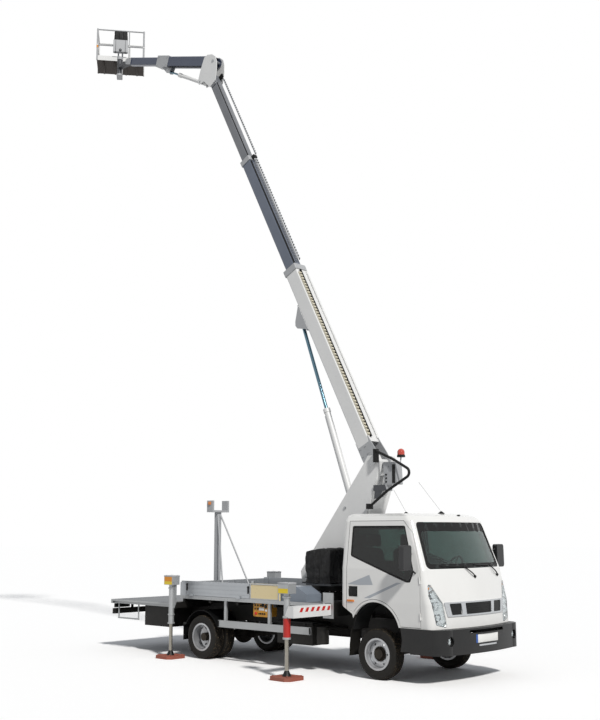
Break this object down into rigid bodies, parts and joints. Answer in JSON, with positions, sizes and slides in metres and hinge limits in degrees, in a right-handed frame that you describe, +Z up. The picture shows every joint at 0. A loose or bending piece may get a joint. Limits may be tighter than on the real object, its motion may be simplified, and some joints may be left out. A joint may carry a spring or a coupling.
{
  "type": "truck-mounted boom platform",
  "caption": "Cab-over light truck with a slewing turret, telescopic boom and jib, work basket, drop-side bed, rear platform and four outriggers.",
  "frame": {"origin": "on the ground under the middle of the vehicle's footprint, by the rear axle", "axes": "+X forwards along the truck, +Y to its left, +Z up"},
  "size_m": [9.1511, 3.66, 11.9395],
  "materials": {
    "white_paint": "gloss",
    "chassis_black": "satin",
    "tyre": "matte",
    "rim_silver": "satin",
    "glass": "gloss",
    "seat_fabric": "matte",
    "bumper_plastic": "matte",
    "grille_silver": "gloss",
    "lamp": "gloss",
    "deck_grey": "satin",
    "aluminium": "satin",
    "cream_board": "satin",
    "post_white": "satin",
    "control_orange": "satin",
    "cover_black": "matte",
    "rubber_black": "matte",
    "boom_white": "gloss",
    "boom_blue_grey": "satin",
    "boom_grey": "satin",
    "jib_blue_grey": "satin",
    "steel_rod": "polished",
    "cylinder_grey": "satin",
    "jack_red": "satin",
    "steel_dark": "satin",
    "basket_paint": "satin",
    "knuckle_iron": "matte"
  },
  "bodies": {
    "truck": {"chassis_frame": "chassis_black", "front_axle": "chassis_black", "rear_axle": "chassis_black", "driveline": "chassis_black", "cab_shell": "white_paint", "cab_glass": "glass", "cab_interior": "seat_fabric", "front_bumper": "bumper_plastic", "grille": "grille_silver", "headlamps": "lamp", "subframe": "chassis_black", "deck": "deck_grey", "bed_fittings": "cream_board", "boom_rest": "post_white", "rear_platform": "deck_grey", "guards": "chassis_black", "tanks": "chassis_black", "control_box": "control_orange", "slew_base": "chassis_black"},
    "turret": {"turret": "boom_white", "turret_cover": "cover_black", "turret_console": "boom_white", "hose_loop": "rubber_black"},
    "lift_barrel": {"lift_cylinder_barrel": "cylinder_grey"},
    "lift_rod": {"lift_cylinder_rod": "steel_rod"},
    "boom_base": {"boom_base": "boom_white"},
    "boom_mid": {"boom_mid": "boom_blue_grey"},
    "boom_inner": {"boom_inner": "boom_grey"},
    "jib_outer": {"jib_outer": "jib_blue_grey"},
    "jib_inner": {"jib_inner": "jib_blue_grey"},
    "jib_barrel": {"jib_cylinder_barrel": "cylinder_grey"},
    "jib_rod": {"jib_cylinder_rod": "steel_rod"},
    "rotator": {"rotator": "steel_dark"},
    "basket": {"basket": "basket_paint", "basket_console": "cover_black"},
    "knuckle_right": {"knuckle_right": "knuckle_iron"},
    "front_wheel_right": {"front_rim_right": "rim_silver", "front_tyre_right": "tyre"},
    "rear_wheels_right": {"rear_rims_right": "rim_silver", "rear_tyres_right": "tyre"},
    "door_right": {"door_right": "white_paint", "door_window_right": "glass", "mirror_right": "bumper_plastic"},
    "side_board_right": {"side_board_right": "aluminium"},
    "front_beam_right": {"front_beam_right": "chassis_black"},
    "front_jack_right": {"front_jack_right": "jack_red"},
    "rear_jack_right": {"rear_jack_right": "jack_red"},
    "knuckle_left": {"knuckle_left": "knuckle_iron"},
    "front_wheel_left": {"front_rim_left": "rim_silver", "front_tyre_left": "tyre"},
    "rear_wheels_left": {"rear_rims_left": "rim_silver", "rear_tyres_left": "tyre"},
    "door_left": {"door_left": "white_paint", "door_window_left": "glass", "mirror_left": "bumper_plastic"},
    "side_board_left": {"side_board_left": "aluminium"},
    "front_beam_left": {"front_beam_left": "chassis_black"},
    "front_jack_left": {"front_jack_left": "jack_red"},
    "rear_jack_left": {"rear_jack_left": "jack_red"}
  },
  "joints": [
    {"name": "steer_right", "type": "hinge", "parent": "truck", "child": "knuckle_right", "pos_m": [3.4, -0.64, 0.325], "axis": [0, 0, 1], "range_deg": [-35, 35]},
    {"name": "front_wheel_spin_right", "type": "hinge", "parent": "knuckle_right", "child": "front_wheel_right", "pos_m": [3.4, -0.785, 0.325], "axis": [0, 1, 0], "continuous": true},
    {"name": "rear_wheel_spin_right", "type": "hinge", "parent": "truck", "child": "rear_wheels_right", "pos_m": [0, -0.698, 0.325], "axis": [0, 1, 0], "continuous": true},
    {"name": "door_right_hinge", "type": "hinge", "parent": "truck", "child": "door_right", "pos_m": [4.149, -0.929, 1], "axis": [0, 0, 1], "range_deg": [0, 70]},
    {"name": "side_board_right_hinge", "type": "hinge", "parent": "truck", "child": "side_board_right", "pos_m": [0.36, -0.942, 0.935], "axis": [1, 0, 0], "range_deg": [0, 180]},
    {"name": "front_beam_right_slide", "type": "slide", "parent": "truck", "child": "front_beam_right", "axis": [0, 1, 0], "range_m": [0, 0.5]},
    {"name": "front_jack_right_lift", "type": "slide", "parent": "front_beam_right", "child": "front_jack_right", "axis": [0, 0, 1], "range_m": [0, 0.36]},
    {"name": "rear_jack_right_lift", "type": "slide", "parent": "truck", "child": "rear_jack_right", "axis": [0, 0, 1], "range_m": [0, 0.36]},
    {"name": "steer_left", "type": "hinge", "parent": "truck", "child": "knuckle_left", "pos_m": [3.4, 0.64, 0.325], "axis": [0, 0, 1], "range_deg": [-35, 35]},
    {"name": "front_wheel_spin_left", "type": "hinge", "parent": "knuckle_left", "child": "front_wheel_left", "pos_m": [3.4, 0.785, 0.325], "axis": [0, 1, 0], "continuous": true},
    {"name": "rear_wheel_spin_left", "type": "hinge", "parent": "truck", "child": "rear_wheels_left", "pos_m": [0, 0.698, 0.325], "axis": [0, 1, 0], "continuous": true},
    {"name": "door_left_hinge", "type": "hinge", "parent": "truck", "child": "door_left", "pos_m": [4.149, 0.929, 1], "axis": [0, 0, -1], "range_deg": [0, 70]},
    {"name": "side_board_left_hinge", "type": "hinge", "parent": "truck", "child": "side_board_left", "pos_m": [0.36, 0.942, 0.935], "axis": [-1, 0, 0], "range_deg": [0, 180]},
    {"name": "front_beam_left_slide", "type": "slide", "parent": "truck", "child": "front_beam_left", "axis": [0, -1, 0], "range_m": [0, 0.5]},
    {"name": "front_jack_left_lift", "type": "slide", "parent": "front_beam_left", "child": "front_jack_left", "axis": [0, 0, 1], "range_m": [0, 0.36]},
    {"name": "rear_jack_left_lift", "type": "slide", "parent": "truck", "child": "rear_jack_left", "axis": [0, 0, 1], "range_m": [0, 0.36]},
    {"name": "slew", "type": "hinge", "parent": "truck", "child": "turret", "pos_m": [1.9, 0, 1.13], "axis": [0, 0, 1], "range_deg": [0, 360]},
    {"name": "boom_lift", "type": "hinge", "parent": "turret", "child": "boom_base", "pos_m": [2.84, 0, 2.911], "axis": [0, -1, 0], "range_deg": [-9.2, 66.4]},
    {"name": "boom_mid_slide", "type": "slide", "parent": "boom_base", "child": "boom_mid", "axis": [0.4571, 0, -0.8894], "range_m": [-0.5, 2.2]},
    {"name": "boom_inner_slide", "type": "slide", "parent": "boom_mid", "child": "boom_inner", "axis": [0.4571, 0, -0.8894], "range_m": [-0.4, 1.76]},
    {"name": "lift_barrel_pitch", "type": "hinge", "parent": "turret", "child": "lift_barrel", "pos_m": [2.307, 0, 2.25], "axis": [0, -1, 0], "range_deg": [-9.35, 67.18]},
    {"name": "lift_rod_slide", "type": "slide", "parent": "lift_barrel", "child": "lift_rod", "axis": [-0.3353, 0, 0.9421], "range_m": [-0.9298, 0.1293]},
    {"name": "jib_lift", "type": "hinge", "parent": "boom_inner", "child": "jib_outer", "pos_m": [-0.82074, 0, 10.22218], "axis": [0, -1, 0], "range_deg": [-38, 20]},
    {"name": "jib_slide", "type": "slide", "parent": "jib_outer", "child": "jib_inner", "axis": [0.9511, 0, -0.309], "range_m": [-0.3, 0.85]},
    {"name": "jib_barrel_pitch", "type": "hinge", "parent": "boom_inner", "child": "jib_barrel", "pos_m": [-1.15919, 0, 9.92906], "axis": [0, -1, 0], "range_deg": [-40.44, 21.31]},
    {"name": "jib_rod_slide", "type": "slide", "parent": "jib_barrel", "child": "jib_rod", "axis": [-0.8757, 0, 0.4829], "range_m": [-0.1495, 0.2836]},
    {"name": "basket_level", "type": "hinge", "parent": "jib_inner", "child": "rotator", "pos_m": [-3.3886, 0, 11.05653], "axis": [0, 1, 0], "range_deg": [-47.2, 86.4]},
    {"name": "basket_turn", "type": "hinge", "parent": "rotator", "child": "basket", "pos_m": [-3.68859, 0, 11.05653], "axis": [0, 0, 1], "range_deg": [-21.4, 98.6]}
  ],
  "couplings": [
    {"joint": "steer_left", "follows": "steer_right", "ratio": 1},
    {"joint": "boom_inner_slide", "follows": "boom_mid_slide", "ratio": 0.8},
    {"joint": "lift_barrel_pitch", "follows": "boom_lift", "ratio": 1.011},
    {"joint": "lift_rod_slide", "follows": "boom_lift", "m_per_rad": -0.8019},
    {"joint": "jib_barrel_pitch", "follows": "jib_lift", "ratio": 1.063},
    {"joint": "jib_rod_slide", "follows": "jib_lift", "m_per_rad": -0.4269}
  ]
}
